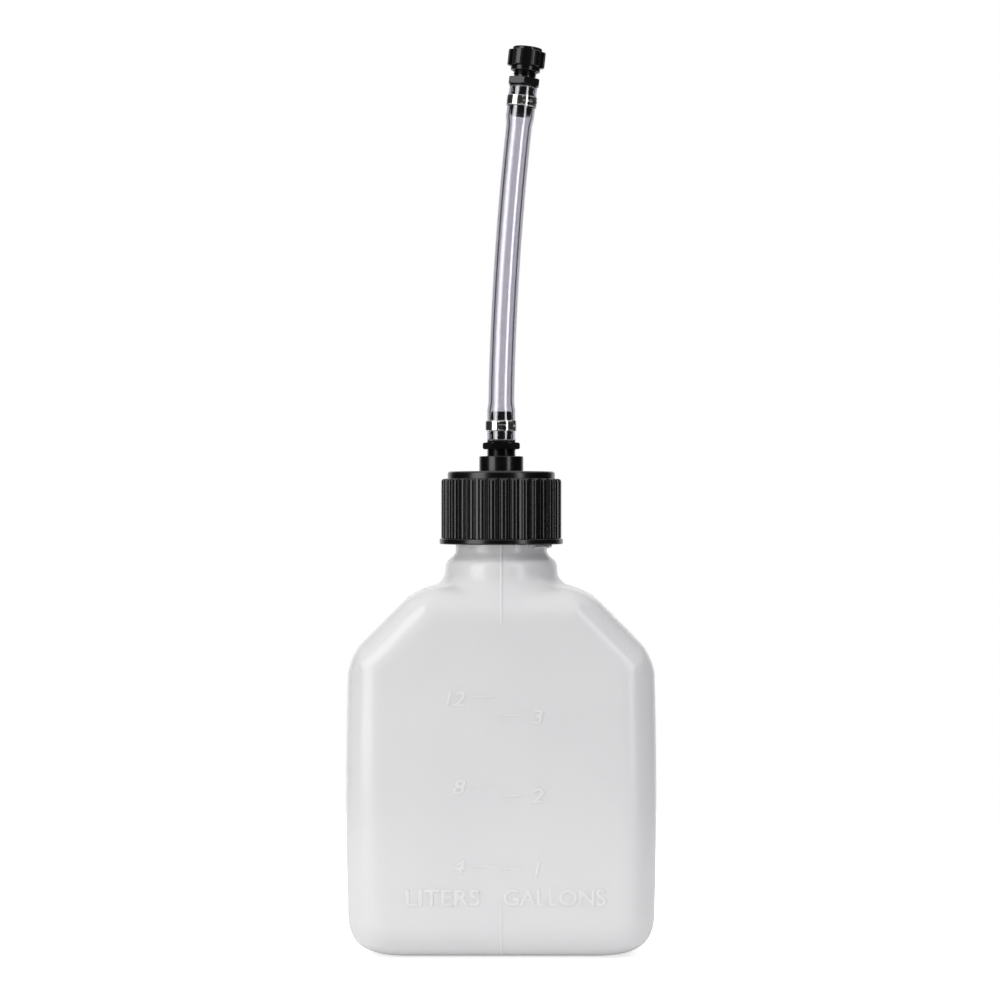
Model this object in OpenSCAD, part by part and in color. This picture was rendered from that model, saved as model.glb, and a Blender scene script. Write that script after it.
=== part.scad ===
// Square utility jug with a ribbed screw cap and a clear filler hose.
// The base stands on z = 0, its middle is the origin, and the marked face looks towards -Y.

/* [Jug body] */
// Width of the body, left to right
body_w = 254; // [220:1:300]
// Depth of the body, front to back
body_d = 240; // [220:1:280]
// Height of the flat ridge that the neck rises from
ridge_z = 307; // [280:1:360]
// How far each side wall bows outward at mid height
side_bow = 2; // [0.5:0.5:4]
// Height at which the 45 degree shoulders would meet the neck's axis
shoulder_apex_z = 376; // [368:1:384]
// Rounding of the upright edges and of the shoulders
edge_r = 30; // [22:1:33]
// Rounding all round the base
base_r = 36; // [26:1:40]
// Thickness of the moulded wall
wall = 2.8; // [2:0.1:4]

/* [Neck] */
// Distance from the front face back to the neck's axis
neck_set_back = 66; // [60:1:80]
// Outer diameter of the neck under its thread
neck_d = 77; // [70:1:80]
// Outer diameter of the rounded collar under the neck
collar_d = 94.6; // [88:0.2:100]
// Height of the collar above the ridge
collar_h = 24; // [22:0.5:30]
// Rounding of the collar's upper edge
collar_round_r = 7.5; // [5:0.5:9]
// Height above the ridge from which the collar spreads into its saddle
saddle_rise = 9; // [6:0.5:12]
// Distance from the front face back to the front foot of the saddle
saddle_front = 6; // [5:0.5:10]
// Depth below the ridge that the saddle runs down to at its front
saddle_drop = 13; // [10:0.5:16]
// Distance that the saddle runs back behind the collar
saddle_rear = 8; // [6:0.5:10]
// Length of the neck above the collar
neck_len = 63; // [56:0.5:68]
// Wall of the neck
neck_wall = 3.2; // [2.6:0.1:4]
// Rise of the neck's thread in one turn
neck_pitch = 8; // [7:0.5:9]
// Height of the thread's ridge above the neck
neck_thread_h = 4.3; // [3:0.1:5]
// Turns of thread on the neck
neck_thread_turns = 2.5; // [2:0.25:3]
// Depth below the cap's rim at which the thread starts, to its middle
thread_below_cap = 3.2; // [2:0.1:5]

/* [Grip] */
// Height of the grip's middle line above the ridge
grip_rise = 35; // [32:0.5:38]
// Thickness of the grip, up and down
grip_t = 24; // [20:1:26]
// Width of the grip, left to right
grip_w = 32; // [28:1:40]
// Distance from the neck's axis back to the grip's front leg
grip_front = 57; // [55:1:60]
// Distance from the rear face forward to the outside of the grip's rear leg
grip_rear = 2; // [1:0.5:6]
// Radius of the grip's front bend, to its middle line
grip_front_r = 44; // [36:1:46]
// Radius of the grip's rear bend, to its middle line
grip_rear_r = 30; // [24:1:34]
// Depth of the hand hollow in the ridge under the grip
hand_hollow_depth = 21; // [12:1:24]
// Radius of the hand hollow
hand_hollow_r = 60; // [55:1:70]

/* [Cap] */
// Gap between the collar and the cap's bottom rim
cap_gap = 11.5; // [9:0.1:13]
// Diameter over the ribs
cap_rib_d = 101.5; // [98:0.5:106]
// How far the ribs stand out of the skirt
cap_rib_h = 2.3; // [1.4:0.1:3]
// Number of ribs round the skirt
cap_ribs = 33; // [24:1:40]
// Share of the pitch that a rib takes
cap_rib_share = 0.5; // [0.35:0.05:0.6]
// Diameter of the bottom rim
cap_rim_d = 104.3; // [102:0.1:110]
// Height of the bottom rim
cap_rim_h = 4.7; // [3:0.1:7]
// Diameter of the raised top disc
cap_disc_d = 90.7; // [84:0.1:94]
// Height of the raised top disc above the ribs
cap_disc_h = 6.2; // [4:0.1:8]
// Rounding of the top disc's edge
cap_disc_round = 2.2; // [1:0.1:3]
// Rounding of the rim's edges
rim_round = 1; // [0.5:0.1:1.4]
// Thickness of the cap's top
cap_top_t = 5; // [4:0.1:7]
// Running gap between the two big threads, measured across the radius
cap_thread_gap = 0.6; // [0.5:0.1:0.9]
// Turns of thread inside the cap
cap_thread_turns = 1.75; // [1.5:0.25:2]
// Diameter of the boss on the cap
boss_d = 37.3; // [34:0.1:42]
// Height of the boss above the cap's top
boss_h = 13.6; // [10:0.1:18]
// Rounding of the boss's upper edge
boss_round = 0.8; // [0.4:0.1:2]
// Thickness of the gasket between the neck's lip and the cap
gasket_t = 3; // [2:0.1:4]

/* [Fittings] */
// Diameter of the thread that holds the lower fitting in the boss
stem_d = 24.4; // [22:0.1:26]
// Length of that thread left showing above the boss
stem_show = 5.9; // [4:0.1:8]
// Length of that thread inside the boss
stem_in = 14; // [10:0.5:17]
// Size of the lower hex across its flats
lower_hex_af = 27.2; // [26:0.1:30]
// Size of the upper hex across its flats
upper_hex_af = 25.6; // [25:0.1:28]
// Height of both hexes
hex_h = 5.7; // [4:0.1:8]
// Bore through both fittings
bore_d = 12; // [10:0.1:13]
// Barb diameter at its ridges
barb_d = 19.2; // [18.4:0.1:20]
// Barb diameter between its ridges
barb_root_d = 17.8; // [17:0.1:18]
// Length of the barb inside the hose
barb_len = 26; // [24:0.1:32]
// Number of ridges on the barb
barb_ridges = 4; // [3:1:5]
// Depth to which the barb's ridges press into the hose, as a share of its wall
hose_squeeze = 0.22; // [0.1:0.01:0.3]
// Diameter of the nozzle above the upper hex
nozzle_d = 19.6; // [19:0.1:20]
// Length of the nozzle above the upper hex
nozzle_len = 22; // [20:0.5:24]
// Length of nozzle left showing under the end cap
nozzle_show = 6.2; // [4:0.1:8]

/* [Hose] */
// Outer diameter of the hose
hose_od = 22.2; // [21.8:0.1:23]
// Bore of the hose
hose_id = 15.9; // [15:0.1:16.2]
// Length of the hose along its middle
hose_len = 302.5; // [250:0.5:360]
// Length of hose past each barb before it starts to bend
hose_past_barb = 1.5; // [1:0.1:3]
// Lean that the hose takes just above the lower fitting, in degrees
lean_low = 1; // [0.2:0.1:1.5]
// Lean of the hose at the upper fitting, in degrees
lean_high = 6.4; // [3:0.1:10]

/* [Clamps] */
// Width of the clamp band
clamp_w = 8.8; // [7:0.1:10]
// Thickness of the clamp band
clamp_t = 0.8; // [0.6:0.1:1.2]
// Distance from the hex to the near edge of the clamp
clamp_from_hex = 9.6; // [7:0.1:12]
// Diameter of the studs that the tongue hooks behind
clamp_stud_d = 2.5; // [1.6:0.1:3.2]
// Angle from the tongue's end to the studs
clamp_stud_lead = 10; // [6:1:16]
// Angle that the band's outer lap covers
clamp_lap_angle = 66; // [50:1:90]
// Angle that the lap's hooked tongue covers
clamp_tongue_angle = 40; // [30:1:50]
// Width of the hooked tongue
clamp_tongue_w = 4; // [3:0.1:5]
// Angle round the hose at which the lap ends, 0 to the right and -90 to the front
clamp_lap_end = -100; // [-180:1:180]

/* [End cap] */
// Diameter of the end cap's core
end_cap_d = 25; // [24.8:0.1:27]
// Diameter over the end cap's grip lugs
end_cap_lug_d = 31.6; // [30.5:0.1:33]
// Number of grip lugs
end_cap_lugs = 6; // [4:1:8]
// Width of a grip lug
end_cap_lug_w = 7; // [5:0.1:8]
// Height of the grip lugs
end_cap_lug_h = 14.2; // [10:0.1:16]
// Thickness of the end cap's top
end_cap_top_t = 2; // [1.8:0.1:3]
// Rounding of the end cap's upper edge
end_cap_round = 1; // [0.6:0.1:1.8]
// Distance from the end cap's rounding down to the top of the lugs
end_cap_lug_drop = 1.4; // [0.4:0.1:2]
// Thickness of the washer inside the end cap
washer_t = 1.6; // [1:0.1:2.2]
// Clear width between the end cap's bore and the nozzle, across the radius
end_gap = 0.9; // [0.6:0.05:1]

/* [Hidden] */

round_fn = 96;
corner_fn = 32;
bore_over = 1;
slice_t = 0.5;
// Play between pieces of one body, and between pieces that move on each other
seat_gap = 0.05;
run_gap = 0.3;

// Body, collar and neck
half_w = body_w / 2;
half_d = body_d / 2;
ridge_half_w = shoulder_apex_z - ridge_z;
neck_y = neck_set_back - half_d;
neck_r = neck_d / 2;
neck_in_r = neck_r - neck_wall;
neck_z = ridge_z - edge_r;
collar_r = collar_d / 2;
collar_top_z = ridge_z + collar_h;
neck_top_z = collar_top_z + neck_len;
saddle_foot_x = ridge_half_w + 2;
saddle_foot_z = ridge_z - 3;
saddle_front_y = saddle_front - half_d;
saddle_rear_y = neck_y + collar_r + saddle_rear;
saddle_tip_r = 0.5;

// Grip
grip_front_y = neck_y + grip_front;
grip_rear_y = half_d - grip_rear - grip_t / 2;
grip_z = ridge_z + grip_rise;
grip_foot_z = ridge_z - grip_t;
hollow_y = (grip_front_y + grip_rear_y) / 2;
hollow_z = ridge_z + hand_hollow_r - hand_hollow_depth;

// Cap and its thread
cap_z = collar_top_z + cap_gap;
cap_inner_top_z = neck_top_z + gasket_t + run_gap + seat_gap;
cap_top_z = cap_inner_top_z + cap_top_t;
boss_top_z = cap_top_z + boss_h;
rib_top_z = cap_top_z - cap_disc_h;
skirt_r = cap_rib_d / 2 - cap_rib_h;
neck_thread_r = neck_r + neck_thread_h;
cap_bore_r = neck_thread_r + cap_thread_gap;
cap_thread_r = neck_r + cap_thread_gap;
thread_base_w = neck_pitch / 2;
thread_crest_w = neck_pitch / 4;
thread_z = cap_z - thread_below_cap;
thread_angle = -46;
cap_thread_lead = 90;
cap_thread_z = thread_z + neck_pitch / 2 + neck_pitch * cap_thread_lead / 360;

// Fittings, hose and end cap
fitting_z = boss_top_z + stem_show;
hose_z = fitting_z + hex_h + seat_gap;
hose_seat_r = barb_d / 2 + seat_gap;
hose_end_r = hose_seat_r + (hose_od - hose_id) / 2 * (1 - hose_squeeze);
hose_seat_len = barb_len + hose_past_barb;
hose_flare_len = 7;
hose_sides = 24;
hose_steps = 20;
clamp_in_r = hose_end_r / cos(180 / hose_sides) + seat_gap;
end_cap_z = hex_h + nozzle_show;
end_cap_bore_h = nozzle_len - nozzle_show + washer_t + 2 * run_gap;
end_cap_h = end_cap_bore_h + end_cap_top_t;
washer_r = nozzle_d / 2 + end_gap - run_gap;

// A ring of evenly turned copies about the Z axis.
module ring_of(count) {
    for (i = [0 : count - 1]) rotate([0, 0, i * 360 / count]) children();
}

// Four round corners of one level of the body.
module level_corners(z, hw, hd, r) {
    for (sx = [-1, 1], sy = [-1, 1])
        translate([sx * (hw - r), sy * (hd - r), z]) cylinder(r = r, h = slice_t, $fn = corner_fn);
}

// Solid form of the square body, its surface moved inward by inset.
module body_form(inset) {
    hw = half_w - inset;
    hd = half_d - inset;
    er = edge_r - inset;
    br = base_r - inset;
    apex = shoulder_apex_z - inset * sqrt(2);
    top = ridge_z - inset;
    break_z = apex - hw;
    mid_z = (br + break_z) / 2;
    hull() {
        for (a = [0 : 15 : 90])
            level_corners(inset + br * (1 - cos(a)), hw - br * (1 - sin(a)),
                hd - br * (1 - sin(a)), er);
        for (k = [-0.75, -0.4, 0, 0.4, 0.75])
            level_corners(mid_z + k * (break_z - er - br) / 2,
                hw + side_bow * (1 - k * k), hd, er);
        shoulder_corners(hw, hd, er, break_z);
        ridge_corners(apex - top, hd, er, top);
    }
}

// Round corners where the upright edges turn into the shoulders.
module shoulder_corners(hw, hd, er, break_z) {
    for (sx = [-1, 1], sy = [-1, 1])
        translate([sx * (hw - er), sy * (hd - er), break_z - er * tan(22.5)])
            rotate([90, 0, 0]) sphere(r = er, $fn = corner_fn);
}

// Round corners where the shoulders meet the flat ridge.
module ridge_corners(half_ridge, hd, er, top) {
    for (sx = [-1, 1], sy = [-1, 1])
        translate([sx * (half_ridge - er * tan(22.5)), sy * (hd - er), top - er])
            rotate([90, 0, 0]) sphere(r = er, $fn = corner_fn);
}

// Cut that dips the ridge under the grip, grown by extra on the inside of the wall.
module hand_hollow(extra) {
    translate([0, hollow_y, hollow_z]) rotate([0, 90, 0])
        cylinder(r = hand_hollow_r + extra, h = body_w, center = true, $fn = round_fn);
}

// Cross-section of the grip, its outline moved inward by inset.
module grip_section(inset) {
    r = grip_t / 2 - inset;
    flat = (grip_w - grip_t) / 2;
    for (s = [-1, 1]) translate([0, s * flat]) circle(r = r, $fn = 48);
    square([2 * r, 2 * flat], center = true);
}

// One quarter bend of the grip, from the angle a0 above +Y.
module grip_bend(inset, y, r, a0) {
    translate([0, y, grip_z - r]) rotate([90, 0, 90]) rotate([0, 0, a0])
        rotate_extrude(angle = 90, $fn = round_fn) translate([r, 0]) grip_section(inset);
}

// Grip tube: two legs, two bends and the bar between them.
module grip_tube(inset) {
    bar_y = grip_front_y + grip_front_r;
    grip_bend(inset, bar_y, grip_front_r, 90);
    grip_bend(inset, grip_rear_y - grip_rear_r, grip_rear_r, 0);
    translate([0, bar_y, grip_z]) rotate([-90, 0, 0]) rotate([0, 0, 90])
        linear_extrude(grip_rear_y - grip_rear_r - bar_y) grip_section(inset);
    translate([0, grip_front_y, grip_foot_z]) rotate([0, 0, 90])
        linear_extrude(grip_z - grip_front_r - grip_foot_z) grip_section(inset);
    translate([0, grip_rear_y, grip_foot_z]) rotate([0, 0, 90])
        linear_extrude(grip_z - grip_rear_r - grip_foot_z) grip_section(inset);
}

// Half section of the collar and neck, its surface moved inward by inset.
module neck_section(inset) {
    round_z = collar_top_z - collar_round_r;
    round_r = collar_round_r - inset;
    r = neck_r - inset;
    cr = collar_r - inset;
    lip_z = neck_top_z + (inset > 0 ? bore_over : 0);
    translate([0, neck_z]) square([r, lip_z - neck_z]);
    translate([0, neck_z]) square([cr, round_z - neck_z]);
    translate([0, round_z]) square([cr - round_r, round_r]);
    translate([cr - round_r, round_z]) circle(r = round_r, $fn = round_fn);
}

// Saddle that carries the round collar down onto the ridge and the front face.
module collar_saddle(inset) {
    hull() {
        translate([0, neck_y, ridge_z + saddle_rise - inset])
            cylinder(r = collar_r - inset, h = slice_t, $fn = 64);
        for (s = [-1, 1]) {
            for (y = [saddle_front_y + inset + edge_r * 0.8, saddle_rear_y - inset])
                translate([s * (saddle_foot_x - inset), y, saddle_foot_z - inset])
                    sphere(r = saddle_tip_r, $fn = 16);
            translate([s * (saddle_foot_x - inset - edge_r * 0.5), saddle_front_y + inset,
                ridge_z - saddle_drop - inset])
                sphere(r = saddle_tip_r, $fn = 16);
        }
    }
}

// Helical ridge with a trapezoid section, standing on root_r and reaching crest_r.
module thread_ridge(root_r, crest_r, turns, z, angle) {
    steps = ceil(turns * 32);
    root = root_r + 0.4 * sign(root_r - crest_r);
    half_base = thread_base_w / 2;
    half_crest = thread_crest_w / 2;
    points = [for (i = [0 : steps])
        let (a = angle + 360 * turns * i / steps,
             rise = z + neck_pitch * turns * i / steps,
             grown = min(1, 0.08 + min(i, steps - i) / 4),
             crest = root_r + (crest_r - root_r) * grown)
        for (q = [[root, -half_base], [crest, -half_crest], [crest, half_crest], [root, half_base]])
            [q[0] * cos(a), q[0] * sin(a), rise + q[1]]];
    sides = [for (i = [0 : steps - 1], j = [0 : 3])
        [4 * i + j, 4 * i + (j + 1) % 4, 4 * i + 4 + (j + 1) % 4, 4 * i + 4 + j]];
    last = 4 * steps;
    faces = concat(sides, [[3, 2, 1, 0], [last, last + 1, last + 2, last + 3]]);
    reversed = [for (f = faces) [f[3], f[2], f[1], f[0]]];
    polyhedron(points, crest_r > root_r ? faces : reversed, convexity = 8);
}

// One blow-moulded shell: body, collar, threaded neck and hollow grip.
module jug_body() {
    color("gainsboro") difference() {
        union() {
            difference() {
                body_form(0);
                hand_hollow(0);
            }
            grip_tube(0);
            collar_saddle(0);
            translate([0, neck_y, 0]) rotate_extrude($fn = round_fn) neck_section(0);
            translate([0, neck_y, 0])
                thread_ridge(neck_r, neck_thread_r, neck_thread_turns, thread_z, thread_angle);
        }
        difference() {
            body_form(wall);
            hand_hollow(wall);
        }
        grip_tube(wall);
        collar_saddle(neck_wall);
        translate([0, neck_y, 0]) rotate_extrude($fn = round_fn) neck_section(neck_wall);
    }
}

// Plan of the ribbed skirt.
module ribbed_plan() {
    rib_w = cap_rib_share * PI * cap_rib_d / cap_ribs;
    circle(r = skirt_r, $fn = round_fn);
    ring_of(cap_ribs) {
        translate([skirt_r - 1, -rib_w / 2])
            square([1 + cap_rib_h - rib_w / 4, rib_w]);
        for (s = [-1, 1])
            translate([skirt_r + cap_rib_h - rib_w / 4, s * rib_w / 4])
                circle(r = rib_w / 4, $fn = 16);
        translate([skirt_r, -rib_w / 4]) square([cap_rib_h, rib_w / 2]);
    }
}

// Outer half section of a round plate with a rounded upper edge, from z0 to z1.
module edged_plate(r, z0, z1, edge) {
    translate([0, z0]) square([r, z1 - z0 - edge]);
    translate([0, z0]) square([r - edge, z1 - z0]);
    translate([r - edge, z1 - edge]) circle(r = edge, $fn = 32);
}

// Half section of the smooth outside of the cap: rim, top disc and boss.
module cap_section() {
    rim_r = cap_rim_d / 2;
    rim_mid_z = cap_z + cap_rim_h / 2;
    edged_plate(rim_r, rim_mid_z, cap_z + cap_rim_h, rim_round);
    translate([0, cap_z]) square([rim_r - rim_round, cap_rim_h / 2]);
    translate([0, cap_z + rim_round]) square([rim_r, cap_rim_h / 2]);
    translate([rim_r - rim_round, cap_z + rim_round]) circle(r = rim_round, $fn = 32);
    edged_plate(cap_disc_d / 2, cap_z, cap_top_z, cap_disc_round);
    edged_plate(boss_d / 2, cap_z, boss_top_z, boss_round);
}

// Ribbed screw cap with its boss, bored for the lower fitting and threaded inside.
module cap() {
    color("#1b1b1d") translate([0, neck_y, 0]) union() {
        difference() {
            union() {
                rotate_extrude($fn = round_fn) cap_section();
                translate([0, 0, cap_z + rim_round])
                    linear_extrude(rib_top_z - cap_z - rim_round) ribbed_plan();
            }
            translate([0, 0, cap_z - bore_over])
                cylinder(r = cap_bore_r, h = cap_inner_top_z - cap_z + bore_over, $fn = round_fn);
            cylinder(r = stem_d / 2 + seat_gap, h = boss_top_z + bore_over, $fn = round_fn);
        }
        thread_ridge(cap_bore_r, cap_thread_r, cap_thread_turns, cap_thread_z,
            thread_angle + cap_thread_lead);
    }
}

// Flat ring between the neck's lip and the cap.
module cap_gasket() {
    color("#3a3a3c") translate([0, neck_y, neck_top_z + run_gap]) difference() {
        cylinder(r = cap_bore_r - run_gap, h = gasket_t - run_gap, $fn = round_fn);
        translate([0, 0, -bore_over])
            cylinder(r = neck_in_r, h = gasket_t + 2 * bore_over, $fn = round_fn);
    }
}

// Ridged barb that points along +Z from the origin.
module barb() {
    ridge_len = barb_len / barb_ridges;
    for (i = [0 : barb_ridges - 1]) translate([0, 0, i * ridge_len])
        cylinder(d1 = barb_d, d2 = barb_root_d, h = ridge_len, $fn = round_fn);
}

// Hex flange on the origin's plane.
module hex_flange(across_flats) {
    intersection() {
        cylinder(d = across_flats / cos(30), h = hex_h, $fn = 6);
        rotate_extrude($fn = round_fn) polygon([[0, 0],
            [across_flats * 0.54, 0], [across_flats / cos(30) / 2, hex_h * 0.16],
            [across_flats / cos(30) / 2, hex_h * 0.84], [across_flats * 0.54, hex_h],
            [0, hex_h]]);
    }
}

// Fitting screwed into the cap's boss, with the hex and the barb that the hose is pushed onto.
module lower_barb_fitting() {
    color("#161617") translate([0, neck_y, fitting_z]) difference() {
        union() {
            translate([0, 0, -stem_show - stem_in])
                cylinder(d = stem_d, h = stem_show + stem_in, $fn = round_fn);
            hex_flange(lower_hex_af);
            translate([0, 0, hex_h]) barb();
        }
        translate([0, 0, -stem_show - stem_in - bore_over])
            cylinder(d = bore_d, h = stem_show + stem_in + hex_h + barb_len + 2 * bore_over,
                $fn = round_fn);
    }
}

// Lean of the hose at a share u of its free length.
function lean_at(u) = lean_low * min(1, u * 12) + (lean_high - lean_low) * u;

// Distances along the hose at which a ring is set, closest at the flared ends.
hose_marks = concat([0, hose_seat_len],
    [for (i = [0 : hose_steps]) hose_seat_len + hose_flare_len * 0.5
        + (hose_len - 2 * hose_seat_len - hose_flare_len) * i / hose_steps],
    [hose_len - hose_seat_len, hose_len]);

// Middle of the hose at each mark, as [x, z, lean], followed upward from the fitting.
function free_share(s) =
    max(0, min(1, (s - hose_seat_len) / (hose_len - 2 * hose_seat_len)));
hose_route = [for (i = 0, x = 0, z = 0; i < len(hose_marks);
    ds = i + 1 < len(hose_marks) ? hose_marks[i + 1] - hose_marks[i] : 0,
    mid = i + 1 < len(hose_marks) ? (hose_marks[i + 1] + hose_marks[i]) / 2 : 0,
    x = x + ds * sin(lean_at(free_share(mid))),
    z = z + ds * cos(lean_at(free_share(mid))),
    i = i + 1) [x, z, lean_at(free_share(hose_marks[i]))]];
hose_end = hose_route[len(hose_route) - 1];

// Places its children at the upper end of the hose, leaning with it.
module at_hose_end() {
    translate([hose_end[0], neck_y, hose_z + hose_end[1]])
        rotate([0, lean_high, 0]) children();
}

// Points of one surface of the hose, end_r over the barbs and mid_r between them.
function hose_rings(end_r, mid_r) = [for (i = [0 : len(hose_route) - 1])
    let (p = hose_route[i],
         on_barb = i < 2 || i > len(hose_route) - 3,
         r = (on_barb ? end_r : mid_r))
    for (k = [0 : hose_sides - 1])
        let (a = 360 * k / hose_sides)
        [p[0] + r * cos(a) * cos(p[2]), neck_y + r * sin(a),
            hose_z + p[1] - r * cos(a) * sin(p[2])]];

// Clear hose, flared over both barbs.
module filler_hose() {
    rings = len(hose_route);
    inner_k = 1 / cos(180 / hose_sides);
    points = concat(hose_rings(hose_end_r, hose_od / 2),
        hose_rings(hose_seat_r * inner_k, hose_id / 2));
    half = rings * hose_sides;
    n = hose_sides;
    walls = [for (i = [0 : rings - 2], k = [0 : n - 1])
        let (a = i * n + k, b = i * n + (k + 1) % n)
        each [[a, a + n, b + n, b], [half + b, half + b + n, half + a + n, half + a]]];
    ends = [for (k = [0 : n - 1])
        let (a = k, b = (k + 1) % n, top = half - n)
        each [[a, b, half + b, half + a], [top + b, top + a, half + top + a, half + top + b]]];
    color("lavender", 0.5) polyhedron(points, concat(walls, ends), convexity = 6);
}

// Part ring between two radii, from the angle a0 on, h high.
module ring_sector(r0, r1, a0, sweep, h) {
    rotate([0, 0, a0]) rotate_extrude(angle = sweep, $fn = round_fn)
        translate([r0, 0]) square([r1 - r0, h]);
}

// Band clamp with its hooked lap towards the front, standing on the origin's plane.
module hose_clamp() {
    r0 = clamp_in_r;
    r1 = r0 + clamp_t;
    r2 = r1 + clamp_t;
    ring_sector(r0, r1, 0, 360, clamp_w);
    ring_sector(r1 - seat_gap, r2, clamp_lap_end - clamp_lap_angle, clamp_lap_angle, clamp_w);
    translate([0, 0, (clamp_w - clamp_tongue_w) / 2])
        ring_sector(r1 - seat_gap, r2, clamp_lap_end - 1, clamp_tongue_angle + 1,
                clamp_tongue_w);
    for (s = [-1, 1]) rotate([0, 0, clamp_lap_end + clamp_tongue_angle + clamp_stud_lead])
        translate([r1 - clamp_t / 2, 0, clamp_w / 2 + s * clamp_w / 4])
            rotate([0, 90, 0]) cylinder(d = clamp_stud_d, h = clamp_t * 1.4, $fn = 24);
}

// Clamp on the lower end of the hose.
module lower_hose_clamp() {
    color("silver") translate([0, neck_y, hose_z + clamp_from_hex]) hose_clamp();
}

// Clamp on the upper end of the hose.
module upper_hose_clamp() {
    color("silver") at_hose_end()
        translate([0, 0, -clamp_from_hex - clamp_w]) hose_clamp();
}

// Fitting at the top of the hose: barb, hex and the nozzle that the end cap closes.
module upper_barb_fitting() {
    color("#161617") at_hose_end() translate([0, 0, seat_gap]) difference() {
        union() {
            mirror([0, 0, 1]) barb();
            rotate([0, 0, 30]) hex_flange(upper_hex_af);
            cylinder(d = nozzle_d, h = hex_h + nozzle_len, $fn = round_fn);
        }
        translate([0, 0, -barb_len - bore_over])
            cylinder(d = bore_d, h = barb_len + hex_h + nozzle_len + 2 * bore_over,
                $fn = round_fn);
    }
}

// Places its children on the bottom rim of the end cap.
module at_end_cap() {
    at_hose_end() translate([0, 0, end_cap_z]) children();
}

// Screw cap with grip lugs that closes the nozzle.
module end_cap() {
    lug_z = end_cap_h - end_cap_round - end_cap_lug_drop - end_cap_lug_h;
    color("#121213") at_end_cap() difference() {
        union() {
            rotate_extrude($fn = round_fn)
                edged_plate(end_cap_d / 2, 0, end_cap_h, end_cap_round);
            ring_of(end_cap_lugs)
                translate([0, -end_cap_lug_w / 2, lug_z])
                    cube([end_cap_lug_d / 2, end_cap_lug_w, end_cap_lug_h]);
        }
        translate([0, 0, -bore_over])
            cylinder(d = nozzle_d + 2 * end_gap, h = end_cap_bore_h + bore_over, $fn = round_fn);
    }
}

// Flat seal between the nozzle and the end cap.
module end_cap_washer() {
    color("#3a3a3c") at_hose_end()
        translate([0, 0, hex_h + nozzle_len + seat_gap + run_gap]) difference() {
            cylinder(r = washer_r, h = washer_t, $fn = round_fn);
            translate([0, 0, -bore_over])
                cylinder(d = bore_d, h = washer_t + 2 * bore_over, $fn = round_fn);
        }
}

jug_body();
cap();
cap_gasket();
lower_barb_fitting();
lower_hose_clamp();
filler_hose();
upper_hose_clamp();
upper_barb_fitting();
end_cap();
end_cap_washer();
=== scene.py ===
"""Looks of the utility jug: translucent shell, ribbed black cap, clear hose, clamps and end cap.

Lengths are in millimetres until a mesh is made, and in metres after that.
The base stands on z = 0, and the marked face looks towards -Y.
"""

import math

import bmesh
import bpy
import numpy as np
from mathutils import Matrix, Vector


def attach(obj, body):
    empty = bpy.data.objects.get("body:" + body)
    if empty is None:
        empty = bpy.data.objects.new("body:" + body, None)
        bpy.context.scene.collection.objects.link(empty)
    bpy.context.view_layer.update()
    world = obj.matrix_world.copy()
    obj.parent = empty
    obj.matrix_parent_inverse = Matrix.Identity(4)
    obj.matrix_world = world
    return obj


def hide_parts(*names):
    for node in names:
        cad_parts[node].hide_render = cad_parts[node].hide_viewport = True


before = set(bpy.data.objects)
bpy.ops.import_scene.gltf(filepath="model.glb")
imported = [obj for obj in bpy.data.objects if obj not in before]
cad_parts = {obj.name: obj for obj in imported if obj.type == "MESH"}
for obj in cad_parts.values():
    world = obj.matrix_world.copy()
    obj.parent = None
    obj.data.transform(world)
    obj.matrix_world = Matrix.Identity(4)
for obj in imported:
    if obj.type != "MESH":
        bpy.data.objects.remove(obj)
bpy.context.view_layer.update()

MM = 0.001
TURN = 2 * math.pi

# Photograph: its camera, and the pixel frame that places are read in
FOCAL_PX = 2686
PICTURE_PX = 1000
IMAGE_MIDDLE_PX = 500
CAMERA_Z = 379
FACE_DISTANCE = 2204
NECK_DISTANCE = 2270
CAMERA_SIDE = 4
NECK_PX = 501.3
FACE_PX = 500.6

# Studio in metres: brightness of what lights the jug beside its two lights, floor and lights
FLOOR_GLOW = 0.12
DARK_ROOM = 0.035
ROOM_TOP = 1.1
FLOOR_R = 0.95
FLOOR_Z = -0.0003
LIGHT_HIGH = 1.9
LIGHT_MIDDLE_Z = 0.95
LIGHT_DISTANCE = 1.7

# Volume marks on the face, by their pixels: number, middle and width; tick's ends; word's ends
MARK_HIGH_PX = 15.5
MARK_LEAN = 0.2
MARK_RISE = 0.38
MARK_NUMBERS = [("12", 455, 699, 20), ("3", 537, 717, 13), ("8", 459, 787, 14), ("2", 537, 796, 14),
                ("4", 458, 867, 14), ("1", 537, 870, 6)]
MARK_TICKS = [(472, 495, 697), (500, 522, 715), (472, 495, 787), (500, 522, 796), (472, 495, 867),
              (500, 522, 869)]
WORDS_PY = 898
WORDS_HIGH_PX = 17.5
MARK_WORDS = [("LITERS", 405, 480), ("GALLONS", 503, 606)]

# Jug body
HALF_W = 127
FACE_Y = -119.4
HALF_D = -FACE_Y
RIDGE_Z = 307
APEX_Z = 376
SIDE_BOW = 2
BOW_MIDDLE_Z = 140
BOW_HALF_SPAN = 112
EDGE_R = 30
CORNER_R = 23
BASE_R = 32
SHOULDER_SOFT = 11
RIDGE_SOFT = 15
REAR_Y = 119.7
WALL = 2.8
SEAM_HALF_W = 1.3

# Collar and neck
NECK_Y = -54
NECK_R = 38.5
NECK_WALL = 3.2
NECK_CUT_Z = 357.4
NECK_TOP_Z = 394
COLLAR_R = 46.6
COLLAR_FLARE = 0.055
COLLAR_TOP_Z = 331
COLLAR_ROUND = 8
COLLAR_FILLET = 13
NECK_FILLET = 5
NECK_SUNK = 20
THREAD_H = 4.3
THREAD_PITCH = 8
THREAD_Z = 339.3
THREAD_TURNS = 2.5
THREAD_ANGLE = -46

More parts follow.
